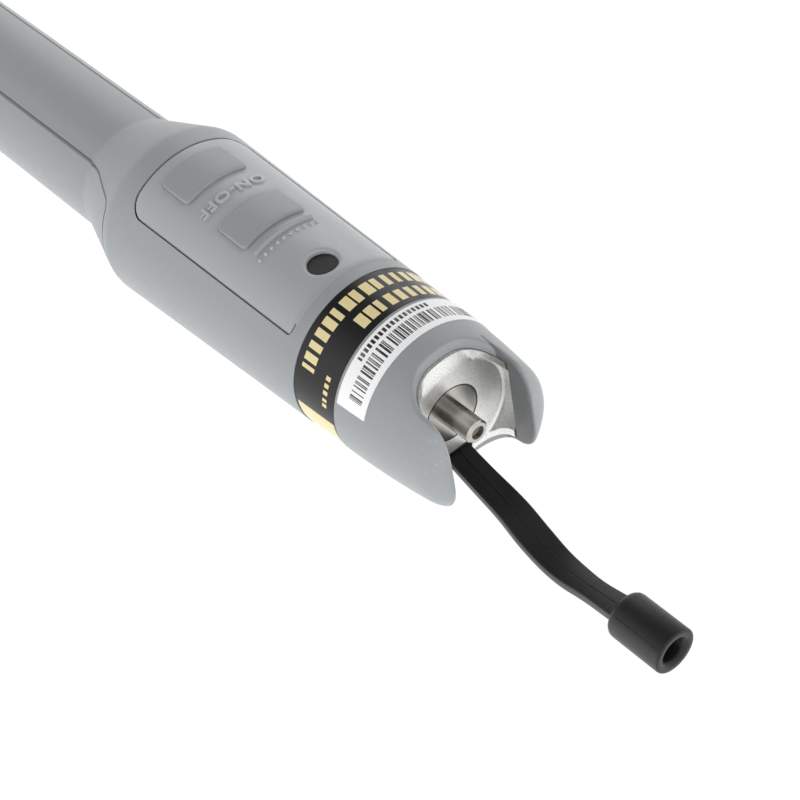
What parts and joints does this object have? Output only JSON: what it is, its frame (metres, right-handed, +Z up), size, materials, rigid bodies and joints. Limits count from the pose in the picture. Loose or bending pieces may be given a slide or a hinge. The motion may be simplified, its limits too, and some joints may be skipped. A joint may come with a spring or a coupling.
{
  "type": "visual fault locator",
  "caption": "Torch-shaped handheld red-light source for fibre testing, with a guarded port, tethered dust cap, keypad panel and slide-off battery door.",
  "frame": {"origin": "centre of the port's mouth, on the axis of the body", "axes": "+X points out of the port along the body, +Z up through the keypad, +Y completes the frame; the body rests level on the flat under its bulge"},
  "size_m": [0.2215, 0.0336, 0.0333],
  "materials": {
    "soft_shell": "satin, fine spark texture",
    "door_shell": "satin, fine spark texture",
    "panel": "grey, fine grain",
    "power_pad": "grey, matt",
    "mode_pad": "grey, matt",
    "window": "dark tinted, smooth",
    "band": "printed foil, black with gold",
    "label": "white paper film with black print",
    "nose_metal": "fine turned, satin",
    "seal": "smooth",
    "screw": "zinc plated",
    "barrel_steel": "polished, turned",
    "ceramic": "white ceramic",
    "stop_brass": "turned",
    "cap_rubber": "black, moulded",
    "frame_plastic": "black, moulded",
    "board": "green solder mask",
    "switch_body": "black, moulded",
    "plunger": "moulded",
    "led": "clear red, domed",
    "laser_brass": "turned",
    "lens": "polished",
    "lens_ring": "turned",
    "diode": "plated can",
    "cell": "sleeved can",
    "contact": "nickel plated spring steel",
    "strip": "nickel plated"
  },
  "bodies": {
    "device": {"housing": "soft_shell", "keypad_panel": "panel", "indicator_window": "window", "band_label": "band", "serial_label": "label", "nose_block": "nose_metal", "nose_seal": "seal", "nose_screws": "screw", "ferrule_barrel": "barrel_steel", "ferrule_sleeve": "ceramic", "sleeve_stop": "stop_brass", "frame": "frame_plastic", "circuit_board": "board", "board_screws": "screw", "tact_switches": "switch_body", "indicator_led": "led", "laser_tube": "laser_brass", "focus_lens": "lens", "lens_ring": "lens_ring", "laser_diode": "diode", "cell_front": "cell", "cell_rear": "cell", "front_contact": "contact", "rear_contact": "contact", "cell_spring": "contact", "bus_strip": "strip"},
    "battery_door": {"battery_door": "door_shell"},
    "power_button": {"power_button": "power_pad", "power_plunger": "plunger"},
    "mode_button": {"mode_button": "mode_pad", "mode_plunger": "plunger"},
    "dust_cap": {"dust_cap": "cap_rubber"}
  },
  "joints": [
    {"name": "door_slide", "type": "slide", "parent": "device", "child": "battery_door", "axis": [-1, 0, 0], "range_m": [0, 0.1]},
    {"name": "power_press", "type": "slide", "parent": "device", "child": "power_button", "axis": [0, 0, -1], "range_m": [0, 0.0003], "stiffness_N_per_m": 1500},
    {"name": "mode_press", "type": "slide", "parent": "device", "child": "mode_button", "axis": [0, 0, -1], "range_m": [0, 0.0003], "stiffness_N_per_m": 1500},
    {"name": "cap_swing", "type": "hinge", "parent": "device", "child": "dust_cap", "pos_m": [-0.0078, 0, -0.0093], "axis": [0, -1, 0], "range_deg": [0, 18], "stiffness_Nm_per_rad": 0.0017}
  ]
}
